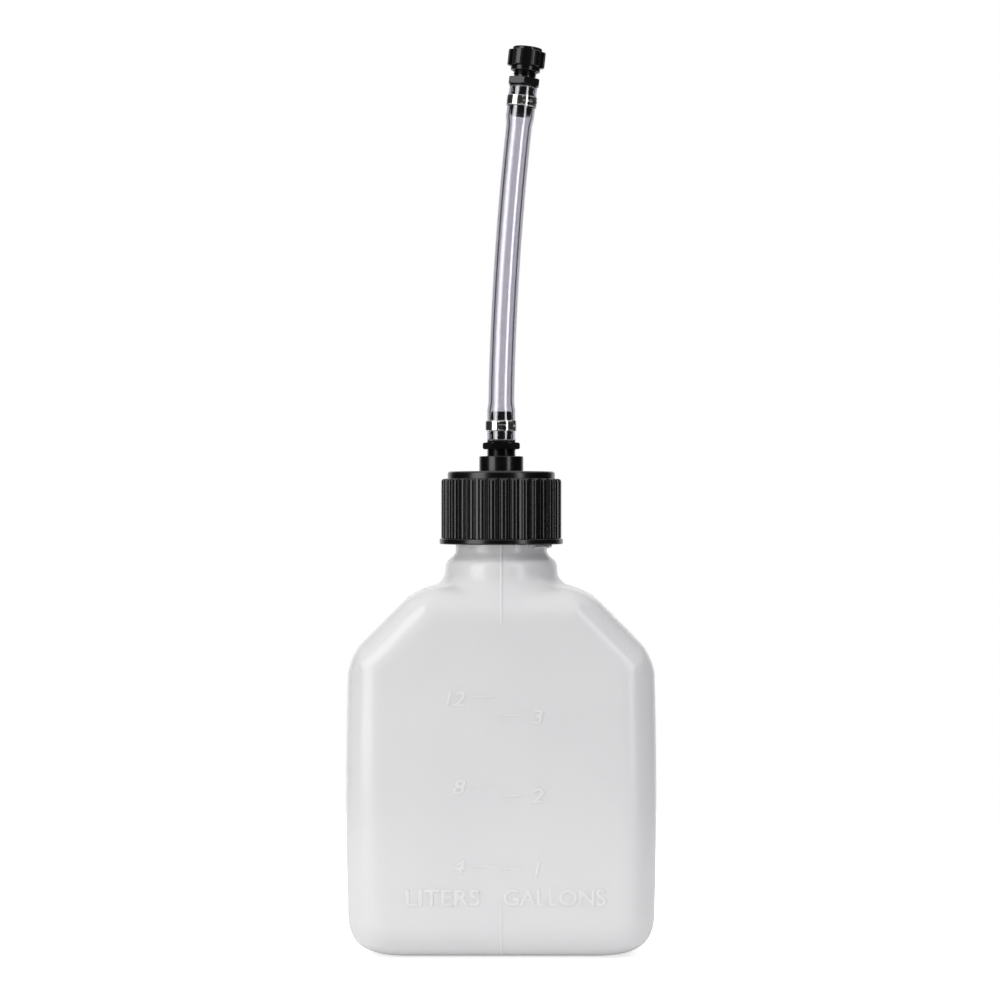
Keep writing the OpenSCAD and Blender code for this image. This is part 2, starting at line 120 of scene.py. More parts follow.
# Grip
GRIP_Z = 342
GRIP_FRONT_Y = 3
GRIP_REAR_Y = 106
GRIP_FRONT_R = 44
GRIP_REAR_R = 30
GRIP_T = 24
GRIP_W = 32
GRIP_FILLET = 9
HOLLOW_R = 60
HOLLOW_DEPTH = 21

# Cap
CAP_Z = 341.8
CAP_TOP_Z = 403.1
CAP_INNER_Z = 397.35
CAP_RIM_R = 52.15
CAP_RIM_H = 4.7
CAP_RIB_R = 50.75
CAP_RIB_H = 2.3
CAP_RIBS = 33
CAP_DISC_R = 45.35
CAP_DISC_H = 6.2
BOSS_R = 18.65
BOSS_TOP_Z = 415.95
CAP_BORE_R = 43.4
CAP_THREAD_LEAD = 90

# Fittings
STEM_R = 12.2
STEM_IN = 14
FITTING_Z = 421.85
THREAD_FINE = 1.81
HEX_H = 5.7
LOWER_HEX_AF = 27.2
UPPER_HEX_AF = 25.6
BORE_R = 6
BARB_R = 9.6
BARB_ROOT_R = 8.4
BARB_RIDGE_R = 9.05
BARB_GRIP_R = 9.15
BARB_LEN = 26
BARB_RIDGES = 4
NOZZLE_R = 9.8
NOZZLE_LEN = 22
NOZZLE_SHOW = 6.2
SEAT = 0.05

# Hose: its marks, and how it leans from the lower fitting to the upper one
HOSE_Z = 427.6
HOSE_LEN = 302.5
HOSE_R = 11.1
HOSE_BORE_R = 7.95
HOSE_SEAT_LEN = 27.5
HOSE_FLARE_LEN = 7
HOSE_STEPS = 20
HOSE_SQUEEZE = 0.22
LEAN_LOW = 1
LEAN_HIGH = 6.4

# Clamps
CLAMP_W = 8.8
CLAMP_T = 0.8
CLAMP_FROM_HEX = 9.6
CLAMP_LAP_END = -100
CLAMP_LAP_ANGLE = 66
CLAMP_HOLE = -77
UPPER_CLAMP_TURN = 14

# End cap
END_CAP_R = 12.5
END_LUG_R = 15.8
END_LUGS = 6
END_LUG_W = 7
END_LUG_H = 14.2
END_CAP_H = 20
END_CAP_ROUND = 1
END_LUG_DROP = 1.4
END_BORE_R = 10.7
END_BORE_H = 18


def mesh_piece(name, points, faces, material, body):
    """A smooth-shaded mesh piece, from points in millimetres, that rides on a body."""
    mesh = bpy.data.meshes.new(name)
    mesh.from_pydata((np.asarray(points) * MM).tolist(), [], [list(f) for f in faces])
    mesh.validate()
    mesh.polygons.foreach_set("use_smooth", [True] * len(mesh.polygons))
    piece = bpy.data.objects.new(name, mesh)
    bpy.context.scene.collection.objects.link(piece)
    piece.data.materials.append(material)
    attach(piece, body)
    return piece


def sharpen(piece, degrees):
    """Keeps the edges of a smooth piece crisp where its faces turn by more than this."""
    piece.data.set_sharp_from_angle(angle=math.radians(degrees))


# Distances to surfaces, for arrays of x, y and z


def rounded_max(a, b, r):
    """Larger of two distances, with the edge between them rounded by r."""
    return np.minimum(np.maximum(a, b), -r) + np.hypot(np.maximum(a + r, 0), np.maximum(b + r, 0))


def filleted_min(a, b, r):
    """Smaller of two distances, with a fillet of r in the corner between them."""
    return -rounded_max(-a, -b, r)


def smooth_step(t):
    """Smooth rise from 0 to 1."""
    t = np.clip(t, 0, 1)
    return t * t * (3 - 2 * t)


def body_distance(x, y, z):
    """Square body with 45 degree shoulders and the hand hollow in its ridge."""
    k = np.clip((z - BOW_MIDDLE_Z) / BOW_HALF_SPAN, -1, 1)
    side = np.abs(x) - HALF_W - SIDE_BOW * (1 - k * k)
    slope = (np.abs(x) + z - APEX_Z) / math.sqrt(2)
    front_view = rounded_max(side, slope, SHOULDER_SOFT)
    front_view = rounded_max(front_view, z - RIDGE_Z, RIDGE_SOFT)
    low = np.clip((BASE_R - z) / BASE_R, 0, 1)
    edge = np.maximum(EDGE_R, CORNER_R + BASE_R * (1 - np.sqrt(1 - low * low)))
    body = rounded_max(front_view, np.abs(y) - HALF_D, edge)
    body = rounded_max(body, -z, BASE_R)
    hollow_y = (GRIP_FRONT_Y + GRIP_REAR_Y) / 2
    hollow = HOLLOW_R - np.hypot(y - hollow_y, z - RIDGE_Z - HOLLOW_R + HOLLOW_DEPTH)
    return rounded_max(body, hollow, 8)


def grip_distance(x, y, z):
    """Bent grip tube, from the distance to its middle line in the plane x = 0."""
    front_turn_y = GRIP_FRONT_Y + GRIP_FRONT_R
    rear_turn_y = GRIP_REAR_Y - GRIP_REAR_R
    front_turn_z = GRIP_Z - GRIP_FRONT_R
    rear_turn_z = GRIP_Z - GRIP_REAR_R
    front = np.where(z > front_turn_z, np.hypot(y - front_turn_y, z - front_turn_z),
                     np.abs(y - front_turn_y))
    rear = np.where(z > rear_turn_z, np.hypot(y - rear_turn_y, z - rear_turn_z),
                    np.abs(y - rear_turn_y))
    off_front = np.where(y < front_turn_y, np.abs(front - GRIP_FRONT_R), 1e3)
    off_rear = np.where(y > rear_turn_y, np.abs(rear - GRIP_REAR_R), 1e3)
    between = (y >= front_turn_y) & (y <= rear_turn_y)
    off_bar = np.where(between, np.abs(z - GRIP_Z), 1e3)
    off_line = np.minimum(np.minimum(off_front, off_rear), off_bar)
    off_line = np.where(z < RIDGE_Z - GRIP_T, np.hypot(off_line, z - RIDGE_Z + GRIP_T), off_line)
    flat = (GRIP_W - GRIP_T) / 2
    return np.hypot(np.maximum(np.abs(x) - flat, 0), off_line) - GRIP_T / 2


def collar_distance(x, y, z):
    """Rounded collar below the neck, a little wider towards its foot."""
    r = np.hypot(x, y - NECK_Y)
    wide = COLLAR_R + COLLAR_FLARE * np.clip(COLLAR_TOP_Z - z, 0, 30)
    collar = rounded_max(r - wide, z - COLLAR_TOP_Z, COLLAR_ROUND)
    return np.maximum(collar, RIDGE_Z - 40 - z)


def neckless_distance(x, y, z):
    """Body, collar and grip with the fillets between them."""
    body = filleted_min(body_distance(x, y, z), collar_distance(x, y, z), COLLAR_FILLET)
    return filleted_min(body, grip_distance(x, y, z), GRIP_FILLET)


def with_neck(body, r, x, y, z):
    """A body's distance joined with a neck of radius r that runs up without an end."""
    neck = np.maximum(np.hypot(x, y - NECK_Y) - r, RIDGE_Z - NECK_SUNK - z)
    return filleted_min(body, neck, NECK_FILLET)


def jug_distance(x, y, z):
    """Outer surface of the jug."""
    return np.maximum(with_neck(neckless_distance(x, y, z), NECK_R, x, y, z), y - REAR_Y)


def cavity_distance(x, y, z):
    """Inner surface of the jug."""
    body = np.maximum(neckless_distance(x, y, z), y - REAR_Y) + WALL
    return with_neck(body, NECK_R - NECK_WALL, x, y, z)


def gradient_of(distance, p):
    """Direction in which a distance grows at each point."""
    h = 0.05
    parts = []
    for axis in range(3):
        step = np.zeros(3)
        step[axis] = h
        parts.append((distance(*(p + step).T) - distance(*(p - step).T)) / (2 * h))
    return np.stack(parts, axis=1)


def surface_net(distance, low, high, step):
    """Points and quads of the surface where a distance is zero. It is open at the box's top."""
    steps = [math.ceil((b - a) / step) for a, b in zip(low, high)]
    low = [b - count * step for b, count in zip(high, steps)]
    axes = [a + step * np.arange(count + 1) for a, count in zip(low, steps)]
    grid = np.meshgrid(*axes, indexing="ij")
    value = distance(*grid)
    inside = value < 0
    n = np.array(value.shape)
    cells = tuple(n - 1)
    total = np.zeros(cells + (3,))
    count = np.zeros(cells, int)
    corner = [(i, j, k) for i in (0, 1) for j in (0, 1) for k in (0, 1)]

    def at(array, c):
        return array[c[0]:n[0] - 1 + c[0], c[1]:n[1] - 1 + c[1], c[2]:n[2] - 1 + c[2]]

    for a in corner:
        for axis in range(3):
            if a[axis]:
                continue
            b = tuple(v + (axis == m) for m, v in enumerate(a))
            va, vb = at(value, a), at(value, b)
            crossed = (va < 0) != (vb < 0)
            share = np.where(crossed, va / np.where(crossed, va - vb, 1), 0)
            for m in range(3):
                place = a[m] + (share if m == axis else 0)
                total[..., m] += np.where(crossed, place, 0)
            count += crossed
    used = count > 0
    index = np.full(cells, -1)
    index[used] = np.arange(used.sum())
    where = np.argwhere(used)
    points = (where + total[used] / count[used][:, None]) * step + np.array(low)
    layer = where[:, 2] == cells[2] - 1
    for _ in range(3):
        g = gradient_of(distance, points)
        size = np.maximum((g * g).sum(1), 0.25)
        move = (distance(*points.T) / size)[:, None] * g
        points = points - np.clip(move, -step, step)
    quads = []
    for axis in range(3):
        u, v = (axis + 1) % 3, (axis + 2) % 3
        lo = [slice(1, -1)] * 3
        lo[axis] = slice(0, -1)
        hi = list(lo)
        hi[axis] = slice(1, None)
        first, second = inside[tuple(lo)], inside[tuple(hi)]
        edges = np.argwhere(first != second)
        out = first[first != second]
        base = edges.copy()
        base[:, u] += 1
        base[:, v] += 1
        ring = []
        for du, dv in ((-1, -1), (0, -1), (0, 0), (-1, 0)):
            cell = base.copy()
            cell[:, u] += du
            cell[:, v] += dv
            ring.append(index[tuple(cell.T)])
        q = np.stack(ring, axis=1)
        q[~out] = q[~out][:, ::-1]
        quads.append(q)
    return points, np.concatenate(quads), layer


def turned(rings, columns, shape=None):
    """Closed mesh turned about Z from a closed outline of (r, z), its radius changed by shape."""
    r, z = np.array(rings, float).T
    angle = np.arange(columns) * TURN / columns
    wide = np.repeat(r[:, None], columns, axis=1)
    high = np.repeat(z[:, None], columns, axis=1)
    if shape is not None:
        wide = shape(wide, high, np.repeat(angle[None, :], len(r), axis=0))
    points = np.stack([wide * np.cos(angle), wide * np.sin(angle), high], axis=2)
    rows = len(r)
    i, j = np.meshgrid(np.arange(rows), np.arange(columns), indexing="ij")
    a = i * columns + j
    b = i * columns + (j + 1) % columns
    c = ((i + 1) % rows) * columns + (j + 1) % columns
    d = ((i + 1) % rows) * columns + j
    return points.reshape(-1, 3), np.stack([a, b, c, d], axis=2).reshape(-1, 4)


def held(rings, near=0.3):
    """An outline with more points near the ends of its long lines, so that these are shaded flat."""
    outline = []
    for (r0, z0), (r1, z1) in zip(rings, rings[1:] + rings[:1]):
        outline.append((r0, z0))
        share = near / max(math.hypot(r1 - r0, z1 - z0), near)
        if share < 0.25:
            outline += [(r0 + (r1 - r0) * t, z0 + (z1 - z0) * t) for t in (share, 1 - share)]
    return outline


def arc(cx, cz, r, start, end, steps):
    """Points of an arc of an outline, with its angles in degrees."""
    return [(cx + r * math.cos(math.radians(start + (end - start) * i / steps)),
             cz + r * math.sin(math.radians(start + (end - start) * i / steps)))
            for i in range(steps + 1)]


def joined(parts):
    """One list of points and one of faces from several."""
    points, faces, start = [], [], 0
    for p, f in parts:
        points.append(np.asarray(p, float))
        faces += [[start + int(i) for i in face] for face in f]
        start += len(p)
    return np.concatenate(points), faces


def rod_faces(steps, n):
    """Side quads and two ends of a rod with n points in each of its sections."""
    faces = [(i * n + j, i * n + (j + 1) % n, (i + 1) * n + (j + 1) % n, (i + 1) * n + j)
             for i in range(steps) for j in range(n)]
    return faces + [tuple(range(n))[::-1], tuple(steps * n + j for j in range(n))]


def moved(points, matrix):
    """Points in millimetres moved by a matrix in millimetres."""
    m = np.array(matrix)
    return np.asarray(points) @ m[:3, :3].T + m[:3, 3]


def helical_ridge(root_r, crest_r, turns, z, angle, pitch, columns=64):
    """Thread ridge with a rounded trapezoid section, sunk a little into the wall that holds it."""
    steps = int(turns * columns)
    sink = 0.5 * (1 if root_r < crest_r else -1)
    section = [(-0.25, -sink), (-0.24, 0.0), (-0.17, 0.75), (-0.12, 1.0), (0.12, 1.0),
               (0.17, 0.75), (0.24, 0.0), (0.25, -sink)]
    points = []
    for i in range(steps + 1):
        a = math.radians(angle) + TURN * turns * i / steps
        rise = z + pitch * turns * i / steps
        near_end = min(i, steps - i) / 8
        grown = math.sin(min(1, 0.04 + near_end) * math.pi / 2)
        for w, h in section:
            r = root_r - sink if h == -sink else root_r + (crest_r - root_r) * h * grown
            points.append((r * math.cos(a), r * math.sin(a), rise + w * pitch * (0.35 + 0.65 * grown)))
    n = len(section)
    faces = rod_faces(steps, n)
    if crest_r > root_r:
        faces = [f[::-1] for f in faces]
    return np.array(points), faces


# Materials


def new_material(name, color, roughness):
    """A Principled material, its node tree, and the Principled node."""
    material = bpy.data.materials.new(name)
    material.use_nodes = True
    tree = material.node_tree
    shader = tree.nodes["Principled BSDF"]
    shader.inputs["Base Color"].default_value = (*color, 1)
    shader.inputs["Roughness"].default_value = roughness
    return material, tree, shader


def noise(tree, scale, detail=3, stretch=(1, 1, 1)):
    """Noise in object coordinates, its value socket."""
    place = tree.nodes.new("ShaderNodeTexCoord")
    mapping = tree.nodes.new("ShaderNodeMapping")
    mapping.inputs["Scale"].default_value = stretch
    texture = tree.nodes.new("ShaderNodeTexNoise")
    texture.inputs["Scale"].default_value = scale
    texture.inputs["Detail"].default_value = detail
    tree.links.new(place.outputs["Object"], mapping.inputs["Vector"])
    tree.links.new(mapping.outputs["Vector"], texture.inputs["Vector"])
    return texture.outputs["Fac"]


def ranged(tree, value, target, source=(0, 1), kind="LINEAR"):
    """A value mapped from one range to another."""
    node = tree.nodes.new("ShaderNodeMapRange")
    node.interpolation_type = kind
    node.inputs["From Min"].default_value, node.inputs["From Max"].default_value = source
    node.inputs["To Min"].default_value, node.inputs["To Max"].default_value = target
    tree.links.new(value, node.inputs["Value"])
    return node.outputs["Result"]


def two_colors(tree, value, first, second):
    """A colour that goes from first to second with a value, its middle half stretched."""
    node = tree.nodes.new("ShaderNodeValToRGB")
    node.color_ramp.elements[0].position = 0.3
    node.color_ramp.elements[0].color = (*first, 1)
    node.color_ramp.elements[1].position = 0.7
    node.color_ramp.elements[1].color = (*second, 1)
    tree.links.new(value, node.inputs["Fac"])
    return node.outputs["Color"]


def bumped(tree, shader, heights):
    """Bump from (value, strength, distance) layers."""
    last = None
    for value, strength, distance in heights:
        bump = tree.nodes.new("ShaderNodeBump")
        bump.inputs["Strength"].default_value = strength
        bump.inputs["Distance"].default_value = distance
        tree.links.new(value, bump.inputs["Height"])
        if last:
            tree.links.new(last, bump.inputs["Normal"])
        last = bump.outputs["Normal"]
    tree.links.new(last, shader.inputs["Normal"])


def natural_plastic(name, tone):
    """Milky translucent moulded plastic with a satin skin, of about this tone."""
    material, tree, shader = new_material(name, (tone, tone, tone), 0.25)
    color = two_colors(tree, noise(tree, 9, 2), (tone - 0.015, tone - 0.015, tone - 0.005),
                       (tone + 0.015, tone + 0.015, tone + 0.022))
    tree.links.new(color, shader.inputs["Base Color"])
    tree.links.new(ranged(tree, noise(tree, 60, 3), (0.21, 0.27)), shader.inputs["Roughness"])
    shader.inputs["Subsurface Weight"].default_value = 0.3
    shader.inputs["Subsurface Radius"].default_value = (1.0, 0.95, 0.95)
    shader.inputs["Subsurface Scale"].default_value = 0.008
    shader.inputs["IOR"].default_value = 1.5
    bumped(tree, shader, [(noise(tree, 22, 2), 0.15, 0.0012), (noise(tree, 700, 2), 0.06, 0.0002)])
    return material


def black_plastic():
    """Satin black moulded plastic with a fine grain."""
    material, tree, shader = new_material("black_plastic", (0.012, 0.012, 0.013), 0.4)
    color = two_colors(tree, noise(tree, 70, 3), (0.0020, 0.0020, 0.0022), (0.0035, 0.0035, 0.0038))
    tree.links.new(color, shader.inputs["Base Color"])
    tree.links.new(ranged(tree, noise(tree, 240, 3), (0.19, 0.26)), shader.inputs["Roughness"])
    shader.inputs["IOR"].default_value = 1.5
    bumped(tree, shader, [(noise(tree, 1400, 2), 0.04, 0.0002)])
    return material


def clear_hose():
    """Clear flexible plastic with a faint violet tint, darker where the wall is seen edge on."""
    material, tree, shader = new_material("clear_hose", (0.93, 0.92, 0.96), 0.03)
    shader.inputs["Transmission Weight"].default_value = 1
    shader.inputs["Coat Weight"].default_value = 1
    shader.inputs["Coat IOR"].default_value = 1.8
    shader.inputs["Coat Roughness"].default_value = 0.02
    shader.inputs["IOR"].default_value = 1.5
    tree.links.new(ranged(tree, noise(tree, 90, 2), (0.01, 0.04)), shader.inputs["Roughness"])
    bumped(tree, shader, [(noise(tree, 40, 2, (1, 1, 0.15)), 0.05, 0.0006)])
    absorb = tree.nodes.new("ShaderNodeVolumeAbsorption")
    absorb.inputs["Color"].default_value = (0.30, 0.26, 0.38, 1)
    absorb.inputs["Density"].default_value = 78
    tree.links.new(absorb.outputs["Volume"], tree.nodes["Material Output"].inputs["Volume"])
    return material


def polished_steel():
    """Bright steel band with fine lines along its length."""
    material, tree, shader = new_material("polished_steel", (0.74, 0.73, 0.71), 0.16)
    shader.inputs["Metallic"].default_value = 1
    lines = noise(tree, 60, 3, (1, 1, 30))
    tree.links.new(two_colors(tree, lines, (0.66, 0.65, 0.63), (0.80, 0.79, 0.77)),
                   shader.inputs["Base Color"])
    tree.links.new(ranged(tree, noise(tree, 300, 2), (0.08, 0.16)), shader.inputs["Roughness"])
    bumped(tree, shader, [(lines, 0.08, 0.0002)])
    return material


def seal_rubber():
    """Dull dark rubber."""
    material, tree, shader = new_material("seal_rubber", (0.03, 0.03, 0.03), 0.8)
    tree.links.new(two_colors(tree, noise(tree, 200, 3), (0.024, 0.024, 0.024), (0.04, 0.04, 0.04)),
                   shader.inputs["Base Color"])
    bumped(tree, shader, [(noise(tree, 900, 2), 0.15, 0.0002)])
    return material


PLASTIC = natural_plastic("natural_plastic", 0.785)
# Paler copy of the same plastic for the parting line and volume marks: a painted highlight standing in
# for the light that their raised edges catch
PAINTED_HIGHLIGHT_PLASTIC = natural_plastic("natural_plastic_painted_highlight", 0.95)
BLACK = black_plastic()
CLEAR = clear_hose()
STEEL = polished_steel()
RUBBER = seal_rubber()


# Camera and stage


def add_camera():
    """Level camera at the photograph's height, turned so that the neck stands at its pixel."""
    data = bpy.data.cameras.new("camera")
    data.lens = data.sensor_width * FOCAL_PX / PICTURE_PX
    camera = bpy.data.objects.new("camera", data)
    turn = (math.atan(CAMERA_SIDE / NECK_DISTANCE)
            + math.atan((NECK_PX - IMAGE_MIDDLE_PX) / FOCAL_PX))
    camera.location = (CAMERA_SIDE * MM, (NECK_Y - NECK_DISTANCE) * MM, CAMERA_Z * MM)
    camera.rotation_euler = (math.radians(90), 0, turn)
    bpy.context.scene.collection.objects.link(camera)
    bpy.context.scene.camera = camera


def larger(tree, a, b):
    """The larger of two values."""
    most = tree.nodes.new("ShaderNodeMath")
    most.operation = "MAXIMUM"
    tree.links.new(a, most.inputs[0])
    tree.links.new(b, most.inputs[1])
    return most.outputs[0]


def light_world():
    """White background, with a dark room round the jug that is bright behind it and above it."""
    world = bpy.data.worlds.new("studio")
    bpy.context.scene.world = world
    world.use_nodes = True
    tree = world.node_tree
    room = tree.nodes["Background"]
    place = tree.nodes.new("ShaderNodeTexCoord")
    split = tree.nodes.new("ShaderNodeSeparateXYZ")
    tree.links.new(place.outputs["Generated"], split.inputs["Vector"])
    behind = ranged(tree, split.outputs["Y"], (DARK_ROOM, 1.0), (0.60, 0.90), "SMOOTHSTEP")
    above = ranged(tree, split.outputs["Z"], (0.0, ROOM_TOP), (0.45, 0.80), "SMOOTHSTEP")
    tree.links.new(larger(tree, behind, above), room.inputs["Color"])
    white = tree.nodes.new("ShaderNodeBackground")
    white.inputs["Color"].default_value = (1, 1, 1, 1)
    mix = tree.nodes.new("ShaderNodeMixShader")
    path = tree.nodes.new("ShaderNodeLightPath")
    tree.links.new(path.outputs["Is Camera Ray"], mix.inputs["Fac"])
    tree.links.new(room.outputs["Background"], mix.inputs[1])
    tree.links.new(white.outputs["Background"], mix.inputs[2])
    tree.links.new(mix.outputs["Shader"], tree.nodes["World Output"].inputs["Surface"])


def add_floor():
    """White floor that fades to pure white away from the jug, and keeps the jug's shadow."""
    bpy.ops.mesh.primitive_circle_add(vertices=96, radius=FLOOR_R, fill_type="NGON",
                                      location=(0, 0, FLOOR_Z))
    floor = bpy.context.object
    floor.name = "floor"
    material, tree, shader = new_material("floor_white", (0.8, 0.8, 0.8), 0.9)
    shader.inputs["Specular IOR Level"].default_value = 0.1
    place = tree.nodes.new("ShaderNodeTexCoord")
    length = tree.nodes.new("ShaderNodeVectorMath")
    length.operation = "LENGTH"
    tree.links.new(place.outputs["Object"], length.inputs[0])
    fade = ranged(tree, length.outputs["Value"], (0.62, 1.0), (0.15, 0.6))
    glow = tree.nodes.new("ShaderNodeMix")
    glow.inputs["A"].default_value = FLOOR_GLOW
    tree.links.new(fade, glow.inputs["B"])
    path = tree.nodes.new("ShaderNodeLightPath")
    seen = larger(tree, path.outputs["Is Camera Ray"], path.outputs["Is Transmission Ray"])
    tree.links.new(seen, glow.inputs["Factor"])
    shader.inputs["Emission Color"].default_value = (1, 1, 1, 1)
    tree.links.new(glow.outputs["Result"], shader.inputs["Emission Strength"])
    floor.data.materials.append(material)


def add_strip_light(name, azimuth, width, radiance, color):
    """Tall soft light beside the camera, azimuth degrees from its line to the jug."""
    data = bpy.data.lights.new(name, "AREA")
    data.shape = "RECTANGLE"
    data.size = width
    data.size_y = LIGHT_HIGH
    data.energy = radiance * math.pi * width * LIGHT_HIGH
    data.color = color
    light = bpy.data.objects.new(name, data)
    a = math.radians(azimuth)
    target = Vector((0, NECK_Y * MM, LIGHT_MIDDLE_Z))
    light.location = target + LIGHT_DISTANCE * Vector((math.sin(a), -math.cos(a), 0))
    light.rotation_euler = (target - light.location).to_track_quat("-Z", "Y").to_euler()
    bpy.context.scene.collection.objects.link(light)


# Hose and what stands on it


def lean_at(share):
    """Lean of the hose in radians, at a share of its free length."""
    return math.radians(LEAN_LOW * min(1, share * 12) + (LEAN_HIGH - LEAN_LOW) * share)


def hose_route():
    """Marks along the hose as (length, x, z, lean), followed upward from the lower fitting."""
    bend = HOSE_LEN - 2 * HOSE_SEAT_LEN - HOSE_FLARE_LEN
    marks = [0, HOSE_SEAT_LEN]
    marks += [HOSE_SEAT_LEN + HOSE_FLARE_LEN / 2 + bend * i / HOSE_STEPS for i in range(HOSE_STEPS + 1)]
    marks += [HOSE_LEN - HOSE_SEAT_LEN, HOSE_LEN]

    def free(s):
        return max(0, min(1, (s - HOSE_SEAT_LEN) / (HOSE_LEN - 2 * HOSE_SEAT_LEN)))

    x, z, route = 0.0, float(HOSE_Z), []
    for i, s in enumerate(marks):
        route.append((s, x, z, lean_at(free(s))))
        if i + 1 < len(marks):
            ds = marks[i + 1] - s
            lean = lean_at(free(s + ds / 2))
            x += ds * math.sin(lean)
            z += ds * math.cos(lean)
    return route


ROUTE = hose_route()
HOSE_TOP = ROUTE[-1]
AT_NECK = Matrix.Translation((0, NECK_Y, 0))
AT_HOSE_END = (Matrix.Translation((HOSE_TOP[1], NECK_Y, HOSE_TOP[2]))
               @ Matrix.Rotation(math.radians(LEAN_HIGH), 4, "Y"))


def hose_sections(gap):
    """Smooth sections between the route's marks, about gap apart: (length, x, z, lean)."""
    sections = []
    for a, b in zip(ROUTE, ROUTE[1:]):
        steps = max(1, round((b[0] - a[0]) / gap))
        for i in range(steps):
            t = i / steps
            run = b[0] - a[0]
            h00, h10 = 2 * t**3 - 3 * t**2 + 1, t**3 - 2 * t**2 + t
            h01, h11 = -2 * t**3 + 3 * t**2, t**3 - t**2
            x = h00 * a[1] + h10 * run * math.sin(a[3]) + h01 * b[1] + h11 * run * math.sin(b[3])
            z = h00 * a[2] + h10 * run * math.cos(a[3]) + h01 * b[2] + h11 * run * math.cos(b[3])
            sections.append((a[0] + run * t, x, z, a[3] + (b[3] - a[3]) * t))
    return sections + [ROUTE[-1]]


def hose_radii(s):
    """Outer and inner radius of the hose at a length along it."""
    seat_outer = BARB_R + SEAT + (HOSE_R - HOSE_BORE_R) * (1 - HOSE_SQUEEZE)
    from_end = min(s, HOSE_LEN - s)
    on_barb = float(1 - smooth_step((from_end - BARB_LEN - 1) / HOSE_FLARE_LEN))
    outer = HOSE_R + (seat_outer - HOSE_R) * on_barb
    inner = HOSE_BORE_R + (BARB_GRIP_R - HOSE_BORE_R) * on_barb
    return outer, inner


def add_hose(sides=56):
    """Clear hose as a hollow tube, declared with the pieces on it."""
    sections = hose_sections(3.5)
    edge = 0.5
    rings = []
    for s, x, z, lean in sections:
        outer, inner = hose_radii(s)
        rings.append((s, x, z, lean, outer, inner))

    def ring(x, z, lean, r):
        a = np.arange(sides) * TURN / sides
        return np.stack([x + r * np.cos(a) * math.cos(lean), NECK_Y + r * np.sin(a),
                         z - r * np.cos(a) * math.sin(lean)], axis=1)

    rows = []
    first, last = rings[0], rings[-1]
    rows.append(ring(first[1], first[2], first[3], first[4] - edge))
    rows += [ring(x, z, lean, outer) for s, x, z, lean, outer, inner in rings]
    rows.append(ring(last[1], last[2], last[3], last[4] - edge))
    rows.append(ring(last[1], last[2], last[3], last[5] + edge))
    rows += [ring(x, z, lean, inner) for s, x, z, lean, outer, inner in rings[::-1]]
    rows.append(ring(first[1], first[2], first[3], first[5] + edge))
    n = len(rows)
    faces = [(i * sides + j, i * sides + (j + 1) % sides,
              ((i + 1) % n) * sides + (j + 1) % sides, ((i + 1) % n) * sides + j)
             for i in range(n) for j in range(sides)]
    hose = mesh_piece("filler_hose_clear", np.concatenate(rows), faces, CLEAR, "cap")
    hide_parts("filler_hose")
    return hose


def hex_radius(across_flats, angle, turn):
    """Radius of a hex at an angle."""
    off = np.mod(angle - math.radians(turn), TURN / 6) - TURN / 12
    return across_flats / 2 / np.cos(off)


def barb_outline(z0, direction):
    """Outline of the barb from the hex outward, with its ridges softened."""
    length = BARB_LEN / BARB_RIDGES
    points = []
    for i in range(BARB_RIDGES):
        z = i * length
        points += [(BARB_ROOT_R, z + 0.05), (BARB_RIDGE_R - 0.12, z + 0.15), (BARB_RIDGE_R, z + 0.6),
                   (BARB_RIDGE_R - 0.25, z + length * 0.5), (BARB_ROOT_R, z + length - 0.05)]
    return [(r, z0 + direction * z) for r, z in points]


def hex_outline(across_flats, z0, height):
    """Outline of a hex flange through its corners, chamfered by a cone at both faces."""
    corner = across_flats / 2 / math.cos(math.radians(30))
    flat = across_flats * 0.54
    return [(flat - 0.6, z0), (flat, z0 + 0.05), (corner, z0 + height * 0.16),
            (corner, z0 + height * 0.84), (flat, z0 + height - 0.05), (flat - 0.6, z0 + height)]


def thread_depth(z, angle, pitch, depth):
    """How far a fine thread cuts in at a height and an angle."""
    t = np.mod(z / pitch - angle / TURN, 1)
    return depth * np.clip(np.abs(t - 0.5) * 2.6 - 0.3, 0, 1)


def add_lower_fitting():
    """Threaded stem, hex and barb, bored through."""
    low = BOSS_TOP_Z - STEM_IN
    levels = np.arange(low + 0.3, FITTING_Z - 0.2, THREAD_FINE / 8)
    rings = [(BORE_R + 0.4, low), (STEM_R - 1.4, low)]
    rings += [(STEM_R, z) for z in levels]
    rings += hex_outline(LOWER_HEX_AF, FITTING_Z, HEX_H)
    rings += [(BARB_ROOT_R + 0.1, FITTING_Z + HEX_H)]
    rings += barb_outline(FITTING_Z + HEX_H, 1)
    top = FITTING_Z + HEX_H + BARB_LEN
    rings += [(BARB_ROOT_R - 0.4, top), (BORE_R + 0.4, top), (BORE_R, top - 0.4)]
    rings += [(BORE_R, FITTING_Z), (BORE_R, low + 0.4)]

    def shape(r, z, angle):
        in_hex = (z >= FITTING_Z) & (z <= FITTING_Z + HEX_H) & (r > STEM_R)
        r = np.where(in_hex, np.minimum(r, hex_radius(LOWER_HEX_AF, angle, 0)), r)
        on_stem = (z < FITTING_Z) & (r > STEM_R - 0.01)
        return np.where(on_stem, r - thread_depth(z, angle, THREAD_FINE, 0.85), r)

    points, faces = turned(held(rings), 144, shape)
    piece = mesh_piece("lower_fitting", moved(points, AT_NECK), faces, BLACK, "cap")
    sharpen(piece, 35)
    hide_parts("lower_barb_fitting")
    return piece


